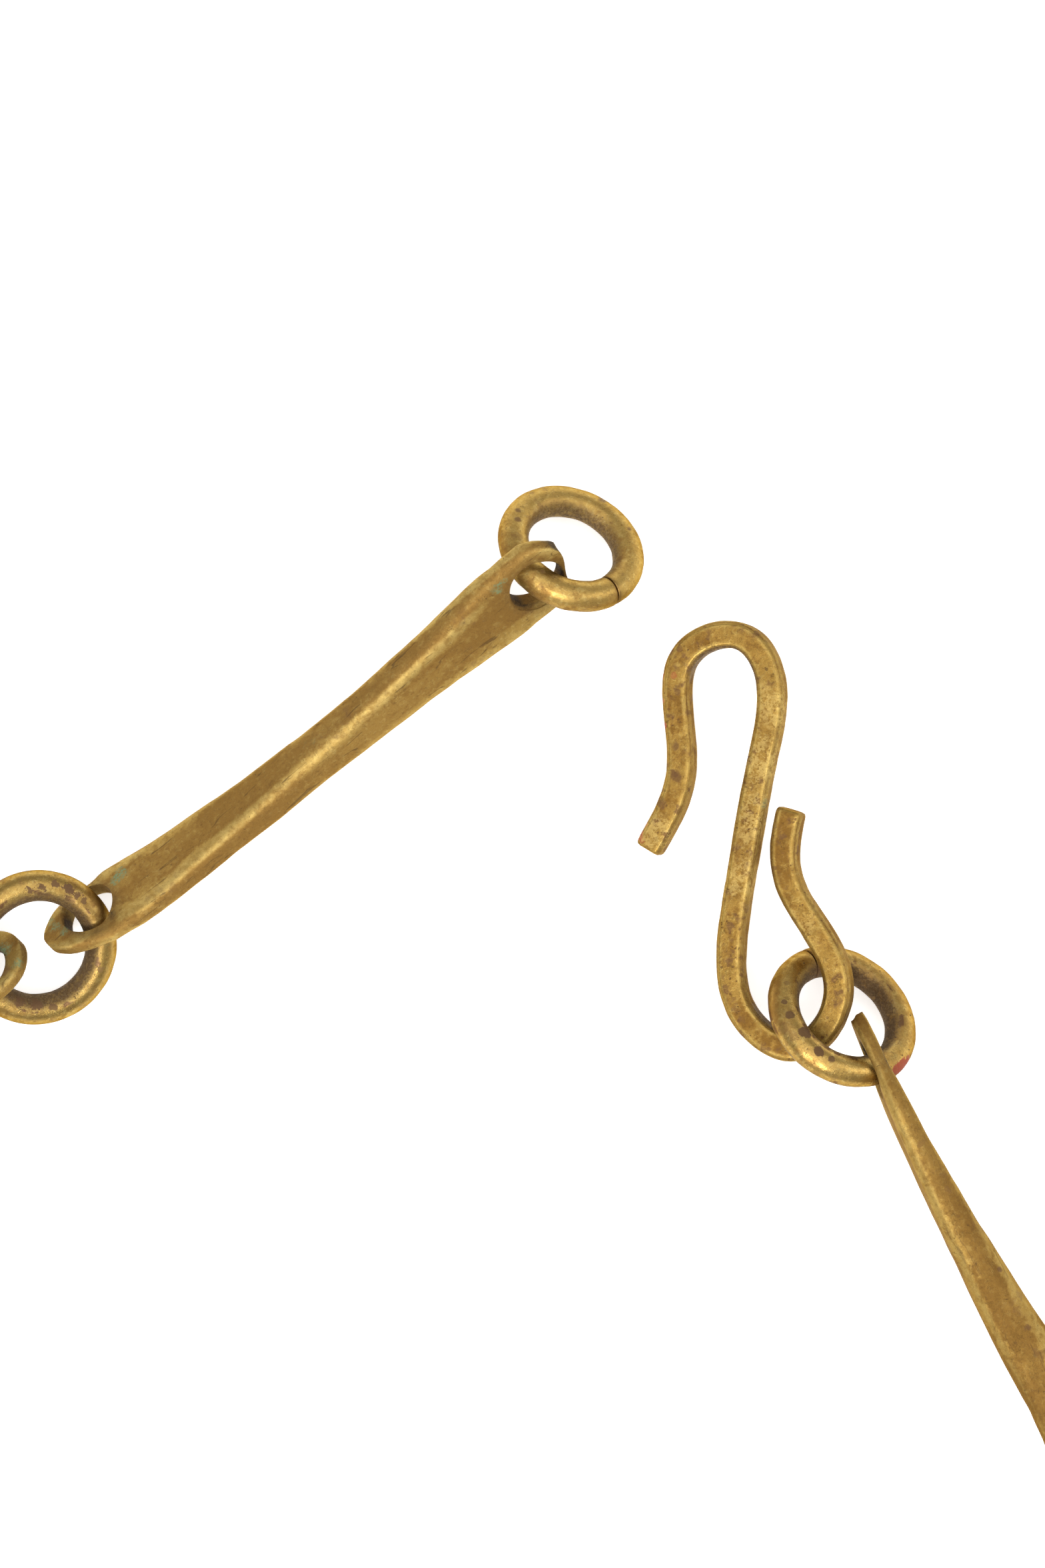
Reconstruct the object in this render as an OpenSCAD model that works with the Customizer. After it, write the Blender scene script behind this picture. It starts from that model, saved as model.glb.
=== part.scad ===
// Forged brass bar-link chain that closes with an S-hook.
// Millimetres, +Z up. The chain lies on the plane Z = 0 as an open loop with its two free ends at +Y.

/* [Rings] */
// Diameter of the ring wire
wire_d = 3.5; // [3.2:0.1:3.6]
// Mean diameter of the joining rings
ring_d = 14.1; // [14:0.1:14.6]
// Mean diameter of the smaller ring at the free end
end_ring_d = 13.2; // [13:0.1:13.5]

/* [Links] */
// Distance between the two holes of a bar link
hole_span = 61.5; // [58:0.5:64]
// Diameter of the holes
hole_d = 6.2; // [6.1:0.1:6.4]
// Material length past the hole at the near end
near_tip = 5.4; // [5:0.1:5.6]
// Material length past the hole at the free end of the chain
free_tip = 3.6; // [3.5:0.1:4]
// Material length past the hole at the far end
far_tip = 6; // [5.6:0.1:6.1]
// Width of the near flat
near_width = 9.6; // [9:0.1:9.8]
// Width of the far flat
far_width = 9.4; // [9:0.1:9.6]
// Thickness of the flats
flat_t = 1.7; // [1.4:0.1:1.8]
// Size of the bar half way along
bar_mid = 5.1; // [4.6:0.1:5.4]

/* [Hook] */
// Width of the hook's square bar in the plane of the S
hook_w = 3.1; // [2.8:0.1:3.2]
// Depth of the hook's square bar across the plane of the S
hook_t = 2.8; // [2.6:0.1:3]
// Chamfer along the hook's edges
hook_ch = 0.6; // [0.4:0.1:0.8]
// How far the hook is rolled up on its left limb
hook_roll = 17; // [16:0.5:18]

/* [Hidden] */
$fn = 64;
wr = wire_d / 2;
// where the middle of the loop's footprint lies relative to the layout below
centre = [-31.42, -143.31];
// direction each link runs in, seen from above
heading = [0, 216.7, 224, 241, 266.3, 295.5, 334, 375.5, 402.8, 443.5, 463.5, 476.4];
// lean of each ring from flat
lean = [41, 18.5, 20, 21.5, 21, 25.5, 22, 24.5, 22, 21.5, 63, 42];
// turn of each link about its own length
roll = [0, 33.5, 45, 45, 45, 45, 45, 45, 45, 45, 45, 90];
// turn from the near flat to the far flat, beyond a right angle
extra = [0, 15, 0, 0, 0, 0, 0, 0, 0, 0, 0, 6];
// sideways bow left by the hammer
bow = [0, 1.75, 0.6, 0.6, 0.6, 0.6, 0.6, 0.6, 0.6, 0.6, 0.6, 0];
// where round its ring a link end sits, measured from the link's own direction
near_slip = [0, -1, -15, 0, 0, 0, 0, 0, 0, 0, 0, 0];
far_slip = [0, 1.2, 0, 0, 0, 0, 0, 0, 0, 0, 0, 12.5];
// play of the wire along the link in each hole
near_play = [0, -0.3, -0.6, 0, 0, 0, 0, 0, 0, 0, 0, 0];
far_play = [0, 0, 0, 0, 0, 0, 0, 0, 0, 0, 0, 0.4];
first_ring = [5.3, 25.8];
hook_at = [22.2, 16.5];

function az(a) = [cos(a), sin(a), 0];
function unit(v) = v / norm(v);
function rad_of(i) = (i == 0 ? end_ring_d : ring_d) / 2;
function low(i) = i == 0 ? 63.7 : i == 11 ? 55 : (heading[i] + heading[i + 1]) / 2 + (i % 2 == 1 ? 90 : -90);
function axis(i) = az(low(i)) * sin(lean[i]) + [0, 0, cos(lean[i])];
function height(i) = rad_of(i) * sin(lean[i]) + wr;
function spoke(i, a) = let(d = az(a), n = axis(i)) unit([d.x, d.y, -(n.x * d.x + n.y * d.y) / n.z]) * rad_of(i);
function near_spoke(i) = spoke(i - 1, heading[i] + near_slip[i]);
function far_spoke(i) = spoke(i, heading[i] + 180 + far_slip[i]);
function rise(i) = height(i) + far_spoke(i).z - height(i - 1) - near_spoke(i).z;
function run(i) = sqrt(hole_span * hole_span - rise(i) * rise(i));
function ring_c(i) = i == 0 ? [first_ring.x, first_ring.y, height(0)]
    : let(c = far_hole(i) - az(heading[i]) * far_play[i] - far_spoke(i)) [c.x, c.y, height(i)];
function near_hole(i) = ring_c(i - 1) + near_spoke(i) + az(heading[i]) * near_play[i];
function far_hole(i) = near_hole(i) + az(heading[i]) * run(i) + [0, 0, rise(i)];

// a frame whose columns are x, y and x cross y
module in_frame(p, x, y) {
    z = cross(x, y);
    multmatrix([[x.x, y.x, z.x, p.x], [x.y, y.y, z.y, p.y], [x.z, y.z, z.z, p.z], [0, 0, 0, 1]]) children();
}

module placed() translate([-centre.x, -centre.y, 0]) children();

// skin over a row of closed sections with the same number of points
module skin(sections) {
    n = len(sections[0]);
    m = len(sections);
    points = [for (s = sections) each s];
    sides = [for (i = [0 : m - 2], j = [0 : n - 1]) let(a = i * n + j, b = i * n + (j + 1) % n) each [[a, a + n, b + n], [a, b + n, b]]];
    cap0 = [for (j = [1 : n - 2]) [0, j, j + 1]];
    cap1 = [for (j = [1 : n - 2]) [(m - 1) * n, (m - 1) * n + j + 1, (m - 1) * n + j]];
    polyhedron(points, concat(sides, cap0, cap1), convexity = 4);
}

// ---- ring: round wire bent to a circle, its ends butted
module ring(i) {
    n = axis(i);
    e = unit(cross([0, 0, 1], n));
    placed() in_frame(ring_c(i), e, cross(n, e))
        rotate_extrude($fn = 64) translate([rad_of(i), 0]) circle(d = wire_d, $fn = 32);
}

// ---- bar link: each end hammered flat, the two flats across each other
function grow(u) = min(1, max(0, u));
function thin(d, half) = flat_t + (bar_mid - flat_t) * pow(grow((d - 7) / (half - 7)), 0.8);
function round_end(d, l) = d >= l ? 1 : sqrt(max(0, 1 - pow(1 - d / l, 2)));
function blunt_end(d, c) = d >= c ? 0 : c - sqrt(max(0, c * c - (c - d) * (c - d)));
function far_w(d, half) = let(u = grow((d - 12) / (half - 12)), v = grow((12 - d) / 7))
    (bar_mid + (far_width - bar_mid) * (1 - u) - 1.9 * v * v * (3 - 2 * v)) * round_end(d, 5);
function near_w(d, half, blunt) = let(u = grow((d - 2) / (half - 2)), w = bar_mid + (near_width - bar_mid) * (1 - pow(u, 0.9)))
    blunt ? w - 2 * blunt_end(d, 2.2) : w * round_end(d, 5);
function edge_r(x, half) = 0.5 + 1.4 * (1 - pow(abs(x - half) / half, 1.3));
function bowed(t) = sin(180 * (0.1 + 0.6 * t)) - 0.35 * pow(grow(t), 10);
function section(y, z, r0) = let(r = min(r0, y / 2 - 0.02, z / 2 - 0.02))
    [for (k = [0 : 3], j = [0 : 2]) let(a = 90 * k + 45 * j, sy = (k == 0 || k == 3) ? 1 : -1, sz = k < 2 ? 1 : -1)
        [sy * (y / 2 - r) + r * cos(a), sz * (z / 2 - r) + r * sin(a)]];

module bar_link(i) {
    tip = i == 1 ? free_tip : near_tip;
    total = tip + hole_span + far_tip;
    half = total / 2;
    sg = i % 2 == 1 ? 1 : -1;
    stations = concat([0.12, 0.5, 1.2, 2.2, 3.5], [for (k = [0 : 15]) 6.5 + (total - 14) * k / 15],
        [total - 4.4, total - 2.6, total - 1.5, total - 0.7, total - 0.2]);
    p = near_hole(i);
    e = unit(far_hole(i) - p);
    left = unit(cross([0, 0, 1], e));
    up = cross(e, left);
    r = i % 2 == 1 ? roll[i] : 180 - roll[i];
    placed() in_frame(p, e, left * cos(r) + up * sin(r)) difference() {
        skin([for (x = stations)
            let(t = extra[i] * grow((x - tip) / hole_span), o = bow[i] * bowed((x - tip) / hole_span) / sqrt(2),
                y = x < half ? thin(x, half) : far_w(total - x, half),
                z = x > half ? thin(total - x, half) : near_w(x, half, i == 1))
            [for (q = section(y, z, edge_r(x, half)))
                [x - tip, q[0] * cos(t) - q[1] * sin(t) + o, q[0] * sin(t) + q[1] * cos(t) - sg * o]]]);
        rotate([90, 0, 0]) cylinder(h = 20, d = hole_d, center = true, $fn = 48);
        translate([hole_span, 0, 0]) rotate([extra[i], 0, 0]) cylinder(h = 20, d = hole_d, center = true, $fn = 48);
    }
}

// ---- S-hook: square bar with chamfered edges, bent to a long S
S = [[-11.7, -29.5], [-8.8, -23.9], [-4.5, -17.2], [-4.9, -10.4], [-6.2, -1.6], [2.8, 1.4], [6.3, -5.7], [4.4, -13.4], [3, -20.5],
     [1.8, -27.7], [0.5, -35], [1.2, -42.3], [9, -47.5], [14.4, -39.5], [11, -32.8], [6.2, -26.9], [7.4, -19.1], [10.4, -12.7]];
spans = len(S) - 3;
function at(u) = let(i = min(floor(u), spans - 1), t = u - i)
    (pow(1 - t, 3) * S[i] + (3 * pow(t, 3) - 6 * t * t + 4) * S[i + 1] + (-3 * pow(t, 3) + 3 * t * t + 3 * t + 1) * S[i + 2] + pow(t, 3) * S[i + 3]) / 6;
function dir_at(u) = let(i = min(floor(u), spans - 1), t = u - i)
    unit(-3 * pow(1 - t, 2) * S[i] + (9 * t * t - 12 * t) * S[i + 1] + (-9 * t * t + 6 * t + 3) * S[i + 2] + 3 * t * t * S[i + 3]);
function hook_section(s) = let(a = hook_w / 2 * s, b = hook_t / 2 * s, c = hook_ch * s)
    [[a, b - c], [a - c, b], [-a + c, b], [-a, b - c], [-a, -b + c], [-a + c, -b], [a - c, -b], [a, -b + c]];
hook_steps = 88;
// lowest corner of the rolled bar, taken at the left limb's tip
hook_z = 3.93;

module s_hook() {
    color([0.66, 0.5, 0.24]) placed() translate([hook_at.x, hook_at.y, hook_z]) rotate([0, -hook_roll, 0])
        skin([for (k = [0 : hook_steps])
            let(u = spans * k / hook_steps, p = at(u), d = dir_at(u), s = (k == 0 || k == hook_steps) ? 0.86 : 1)
            [for (q = hook_section(s)) [p.x - d.y * q[0], p.y + d.x * q[0], q[1]]]]);
}

ring_colour = [0.7, 0.54, 0.26];
link_colour = [0.63, 0.48, 0.22];
module ring_00() color(ring_colour) ring(0);
module link_01() color(link_colour) bar_link(1);
module ring_01() color(ring_colour) ring(1);
module link_02() color(link_colour) bar_link(2);
module ring_02() color(ring_colour) ring(2);
module link_03() color(link_colour) bar_link(3);
module ring_03() color(ring_colour) ring(3);
module link_04() color(link_colour) bar_link(4);
module ring_04() color(ring_colour) ring(4);
module link_05() color(link_colour) bar_link(5);
module ring_05() color(ring_colour) ring(5);
module link_06() color(link_colour) bar_link(6);
module ring_06() color(ring_colour) ring(6);
module link_07() color(link_colour) bar_link(7);
module ring_07() color(ring_colour) ring(7);
module link_08() color(link_colour) bar_link(8);
module ring_08() color(ring_colour) ring(8);
module link_09() color(link_colour) bar_link(9);
module ring_09() color(ring_colour) ring(9);
module link_10() color(link_colour) bar_link(10);
module ring_10() color(ring_colour) ring(10);
module link_11() color(link_colour) bar_link(11);
module ring_11() color(ring_colour) ring(11);

ring_00();
link_01();
ring_01();
link_02();
ring_02();
link_03();
ring_03();
link_04();
ring_04();
link_05();
ring_05();
link_06();
ring_06();
link_07();
ring_07();
link_08();
ring_08();
link_09();
ring_09();
link_10();
ring_10();
link_11();
ring_11();
s_hook();
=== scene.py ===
import math

import bmesh
import bpy
import numpy as np
from mathutils import Matrix, Vector, noise


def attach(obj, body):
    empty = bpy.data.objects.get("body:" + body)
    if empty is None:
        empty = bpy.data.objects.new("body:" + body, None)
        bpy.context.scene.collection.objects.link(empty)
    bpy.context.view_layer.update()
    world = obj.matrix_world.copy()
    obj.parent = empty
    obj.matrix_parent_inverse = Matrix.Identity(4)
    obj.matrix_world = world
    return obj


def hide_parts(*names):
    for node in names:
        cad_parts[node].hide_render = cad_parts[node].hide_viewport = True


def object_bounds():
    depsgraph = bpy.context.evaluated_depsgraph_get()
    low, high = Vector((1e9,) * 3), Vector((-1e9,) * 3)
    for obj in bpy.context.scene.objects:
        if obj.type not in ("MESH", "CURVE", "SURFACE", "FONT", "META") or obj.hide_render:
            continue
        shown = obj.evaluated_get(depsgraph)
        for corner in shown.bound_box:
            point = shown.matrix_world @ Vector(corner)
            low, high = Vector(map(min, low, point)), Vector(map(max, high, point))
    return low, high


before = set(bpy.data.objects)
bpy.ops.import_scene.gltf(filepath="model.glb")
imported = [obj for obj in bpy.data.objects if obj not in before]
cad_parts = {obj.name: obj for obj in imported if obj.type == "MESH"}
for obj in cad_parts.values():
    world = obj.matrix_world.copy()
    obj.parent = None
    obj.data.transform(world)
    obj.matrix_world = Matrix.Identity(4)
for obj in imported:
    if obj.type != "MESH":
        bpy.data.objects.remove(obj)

CAD_LO, CAD_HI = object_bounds()
MM = 0.001


# ---------------------------------------------------------------- layout, the same sums as the part's source, in mm
def V(*a):
    return np.array(a, float)


def unit(v):
    return v / np.linalg.norm(v)


def az(a):
    a = math.radians(a)
    return V(math.cos(a), math.sin(a), 0)


WIRE = 3.5
RING = [6.6] + [7.05] * 11
HOLE_SPAN, HOLE_D = 61.5, 6.2
NEAR_TIP, FREE_TIP, FAR_TIP = 5.4, 3.6, 6.0
NEAR_W, FAR_W, FLAT, BAR = 9.6, 9.4, 1.7, 5.1
CENTRE = V(-31.42, -143.31, 0)
HEADING = [0, 216.7, 224, 241, 266.3, 295.5, 334, 375.5, 402.8, 443.5, 463.5, 476.4]
LEAN = [41, 18.5, 20, 21.5, 21, 25.5, 22, 24.5, 22, 21.5, 63, 42]
ROLL = [0, 33.5] + [45] * 9 + [90]
EXTRA = [0, 15] + [0] * 9 + [2]
BOW = [0, 1.75] + [0.6] * 9 + [0]
NEAR_SLIP = [0, -1, -15] + [0] * 9
FAR_SLIP = [0, 1.2] + [0] * 9 + [12.5]
NEAR_PLAY = [0, -0.3, -0.6] + [0] * 9
FAR_PLAY = [0] * 11 + [0.4]


def low(i):
    if i == 0:
        return 63.7
    if i == 11:
        return 55
    return (HEADING[i] + HEADING[i + 1]) / 2 + (90 if i % 2 else -90)


def ring_axis(i):
    t = math.radians(LEAN[i])
    return az(low(i)) * math.sin(t) + V(0, 0, math.cos(t))


def spoke(i, a):
    d, n = az(a), ring_axis(i)
    return unit(V(d[0], d[1], -(n[0] * d[0] + n[1] * d[1]) / n[2])) * RING[i]


C, P, F = [V(5.3, 25.8, RING[0] * math.sin(math.radians(LEAN[0])) + WIRE / 2)], [None], [None]
for i in range(1, 12):
    zi = RING[i] * math.sin(math.radians(LEAN[i])) + WIRE / 2
    a = spoke(i - 1, HEADING[i] + NEAR_SLIP[i])
    b = spoke(i, HEADING[i] + 180 + FAR_SLIP[i])
    rise = zi + b[2] - C[-1][2] - a[2]
    run = math.sqrt(HOLE_SPAN**2 - rise**2)
    g = az(HEADING[i])
    p = C[-1] + a + g * NEAR_PLAY[i]
    q = p + g * run + V(0, 0, rise)
    c = q - g * FAR_PLAY[i] - b
    C.append(V(c[0], c[1], zi))
    P.append(p)
    e = unit(q - p)
    left = unit(np.cross(V(0, 0, 1), e))
    up = np.cross(e, left)
    r = math.radians(ROLL[i] if i % 2 else 180 - ROLL[i])
    y = left * math.cos(r) + up * math.sin(r)
    F.append(np.c_[e, y, np.cross(e, y)])


# ---------------------------------------------------------------- mesh helpers
def fbm(p, scale, octaves=3, seed=0.0):
    """Smooth seeded noise about zero, p in mm."""
    v = Vector((p[0] * scale + seed * 7.13, p[1] * scale - seed * 3.71, p[2] * scale + seed * 1.97))
    s, a = 0.0, 1.0
    for _ in range(octaves):
        s += a * noise.noise(v)
        v *= 2.03
        a *= 0.5
    return s


def loft(rings, closed=False):
    """A skin of quads over a row of closed sections, its ends closed by rings of quads and a small centre."""
    bm = bmesh.new()
    rows = [[bm.verts.new(p) for p in r] for r in rings]
    n = len(rows[0])
    pairs = list(zip(rows, rows[1:])) + ([(rows[-1], rows[0])] if closed else [])
    for a, b in pairs:
        for j in range(n):
            k = (j + 1) % n
            bm.faces.new((a[j], a[k], b[k], b[j]))
    if not closed:
        for row, flip in ((rows[0], True), (rows[-1], False)):
            mid = sum((v.co for v in row), Vector()) / n
            inner = [bm.verts.new(mid + (v.co - mid) * 0.5) for v in row]
            hub = bm.verts.new(mid)
            for j in range(n):
                k = (j + 1) % n
                quad = (row[j], row[k], inner[k], inner[j])
                tri = (inner[j], inner[k], hub)
                bm.faces.new(quad[::-1] if flip else quad)
                bm.faces.new(tri[::-1] if flip else tri)
    bmesh.ops.recalc_face_normals(bm, faces=bm.faces)
    return bm


def to_object(bm, name):
    me = bpy.data.meshes.new(name)
    bm.to_mesh(me)
    bm.free()
    o = bpy.data.objects.new(name, me)
    bpy.context.scene.collection.objects.link(o)
    return o


def coords(o):
    co = np.empty(len(o.data.vertices) * 3)
    o.data.vertices.foreach_get("co", co)
    return co.reshape(-1, 3)


def put(o, co):
    o.data.vertices.foreach_set("co", np.ascontiguousarray(co, dtype=np.float32).ravel())
    o.data.update()


def smooth(o, angle=38):
    o.data.polygons.foreach_set("use_smooth", [True] * len(o.data.polygons))
    bm = bmesh.new()
    bm.from_mesh(o.data)
    for e in bm.edges:
        if len(e.link_faces) == 2:
            e.smooth = e.calc_face_angle(0) < math.radians(angle)
    bm.to_mesh(o.data)
    bm.free()


def attribute(o, name, values):
    at = o.data.attributes.new(name, "FLOAT_VECTOR" if np.ndim(values) == 2 else "FLOAT", "POINT")
    at.data.foreach_set("vector" if np.ndim(values) == 2 else "value", np.ascontiguousarray(values, dtype=np.float32).ravel())


def dent(o, amount, scale, octaves, seed, only=None):
    """Moves each vertex a little along its normal, mostly inwards, as a hammer leaves it. mm."""
    co = coords(o)
    no = np.empty(len(co) * 3)
    o.data.vertices.foreach_get("normal", no)
    no = no.reshape(-1, 3)
    d = np.array([fbm(p, scale, octaves, seed) for p in co])
    d = np.minimum(d, 0.25) - 0.25
    if only is not None:
        d = d * only
    put(o, co + no * (d * amount)[:, None])


def cut(o, cutter):
    m = o.modifiers.new("cut", "BOOLEAN")
    m.operation, m.solver, m.object = "DIFFERENCE", "EXACT", cutter
    dg = bpy.context.evaluated_depsgraph_get()
    me = bpy.data.meshes.new_from_object(o.evaluated_get(dg))
    o.modifiers.clear()
    old = o.data
    o.data = me
    bpy.data.meshes.remove(old)
    bpy.data.objects.remove(cutter)


def place(o, rot, at, scale=MM):
    """From the piece's own mm to the row frame in metres."""
    co = coords(o) @ np.asarray(rot).T + at - CENTRE
    put(o, co * scale)


def s01(x, a, b):
    t = np.clip((x - a) / (b - a), 0, 1)
    return t * t * (3 - 2 * t)


# ---------------------------------------------------------------- rings: bent wire with butted ends
def ring_piece(i, seam_az, gap=0.11, seed=0.0):
    n = ring_axis(i)
    e1 = unit(np.cross(V(0, 0, 1), n))
    e2 = np.cross(n, e1)
    at = spoke(i, seam_az)
    seam_deg = math.degrees(math.atan2(at @ e2, at @ e1))
    R, r = RING[i], WIRE / 2
    half = math.degrees(gap / 2 / R)
    ends = [0.0, 0.03, 0.09, 0.18, 0.32]
    lip = [0.93, 0.965, 0.988, 0.998, 1.0]
    deg = math.degrees(1 / R)
    stations = [(seam_deg + half + e * deg, l, e) for e, l in zip(ends, lip)]
    lo, hi = seam_deg + half + 0.6 * deg, seam_deg + 360 - half - 0.6 * deg
    stations += [(lo + (hi - lo) * k / 149, 1.0, 9.0) for k in range(150)]
    stations += [(seam_deg + 360 - half - e * deg, l, e) for e, l in zip(ends[::-1], lip[::-1])]
    rows, m = [], 32
    for a, s, _ in stations:
        t = math.radians(a)
        # the wire's ends pass each other by a hair, as cutters leave them
        turn = (a - seam_deg) / 360
        off = 0.10 * (turn - 0.5) * (1 if i % 2 else -1)
        flat = 1 - 0.014 * (1 + math.sin(3 * t + seed * 2))
        rows.append([((R + r * s * flat * math.cos(f)) * math.cos(t), (R + r * s * flat * math.cos(f)) * math.sin(t), r * s * flat * math.sin(f) + off * 0.6) for f in np.linspace(0, 2 * math.pi, m, endpoint=False)])
    o = to_object(loft(rows), f"ring_{i:02d}_wire")
    dent(o, 0.05, 0.55, 3, seed + i)
    lc = coords(o)
    rad = np.hypot(lc[:, 0], lc[:, 1])
    inward = (R - rad) / r
    lift = lc[:, 2] / r
    attribute(o, "lc", lc)
    # darker on the ring's inner side (dust and painted shade; ring_01's reaches further, as painted shade over its
    # inner lower side) and on the lower half of the wire (painted shade)
    reach = {0: (0.45, 1.0), 1: (-0.02, 0.66)}.get(i, (0.15, 0.80))
    attribute(o, "grime_and_shade", np.maximum(s01(inward, *reach) * (0.8 if i == 0 else 1.0), 0.32 * s01(-lift, -0.05, 0.45)))
    # mask for lightening: the upper half of the wire (rubbed wear and painted highlight) and its outer side (rubbed
    # wear)
    attribute(o, "edge_wear_and_sheen", s01(lift, 0.3, 0.95) * 0.6 + s01(-inward, 0.5, 1) * 0.3)
    ang = np.degrees(np.arctan2(lc[:, 1], lc[:, 0]))
    near = np.abs((ang - seam_deg + 180) % 360 - 180) * math.pi / 180 * R
    attribute(o, "seam", 1 - s01(near, 0.12, 0.5))
    smooth(o, 50)
    place(o, np.c_[e1, e2, n], C[i])
    return o


# ---------------------------------------------------------------- links: square bar, each end hammered flat and drilled
def grow(u):
    return min(1.0, max(0.0, u))


# how the two long bars depart from the drawn form, as the hammer left them. Seen from above, per station in mm from
# the near hole: half width on the low side and on the high side, and how much is added to each
FORGED = {
    1: ((0.6, -0.8), [(-5, 3.0, 2.2, 0.2, -0.6), (-3.2, 3.1, 2.3, 0.3, -0.25), (-2, 3.3, 2.4, 0.5, 0.4), (-0.5, 3.5, 2.4, 0.8, 1.05), (2, 3.6, 2.4, 0.9, 1.2), (5, 3.7, 2.3, 0.88, 1.25), (8, 3.9, 2.1, 0.66, 1.03), (11, 4.0, 2.05, 0.44, 0.77), (14, 4.15, 1.95, 0.18, 0.52), (17, 4.2, 1.75, 0.10, 0.37), (20, 4.25, 1.7, 0.08, 0.18), (24, 4.4, 1.5, 0, 0),
                     (33, 4.5, 1.3, 0, 0), (38, 4.75, 1.45, 0, -0.22), (44, 4.9, 1.65, -0.05, -0.26), (50, 5.1, 2.0, -0.05, -0.36), (53, 5.05, 2.2, 0.08, -0.37), (56, 4.95, 2.3, 0.17, -0.20), (58.5, 4.5, 2.2, 0.60, 0.2), (61, 3.7, 2.0, 1.10, 0.4), (64, 3.35, 1.8, 0.40, 0.3), (66.5, 2.3, 1.2, 0, 0), (70, 1, 1, 0, 0)]),
    11: ((-0.9, -0.45), [(-6, 4.8, 4.8, 0, 0), (5, 4.6, 4.6, -0.15, 0.2), (11, 4.2, 4.2, -0.55, 0.55), (17, 3.7, 3.7, -0.95, 0.85), (20, 3.4, 3.4, -0.85, 0.9), (23, 3.13, 3.1, -0.58, 0.85), (26, 2.9, 2.9, -0.28, 0.70), (29, 2.8, 2.7, -0.07, 0.52), (32, 2.6, 2.55, 0.07, 0.33), (35, 2.5, 2.4, 0.15, 0.15), (38, 2.4, 2.25, 0.15, -0.04),
                      (41, 2.17, 2.2, 0.29, -0.30), (44, 2.0, 2.0, 0.41, -0.37), (50, 1.84, 1.73, 0.42, -0.52), (53, 1.66, 1.62, 0.48, -0.57), (56, 1.5, 1.47, 0.52, -0.48), (59, 1.25, 1.2, 0.50, -0.30), (62, 1.1, 1.1, 0.35, -0.20), (65, 1.03, 1.0, 0.16, -0.12), (69, 0.9, 0.9, 0.10, -0.10)]),
}


def forge(i, co, way):
    """Moves local points sideways, in the plane of the surface that the link lies on."""
    side, table = FORGED[i]
    t = np.array(table, float)
    nl = F[i].T @ unit(V(side[0], side[1], 0))
    v = co @ nl
    hp, hm, dp, dm = (np.interp(co[:, 0], t[:, 0], t[:, k]) for k in (1, 2, 3, 4))
    u = np.clip((v + hm) / (hp + hm), -0.05, 1.05)
    return co + (way * (dp * u - dm * (1 - u)))[:, None] * nl


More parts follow.
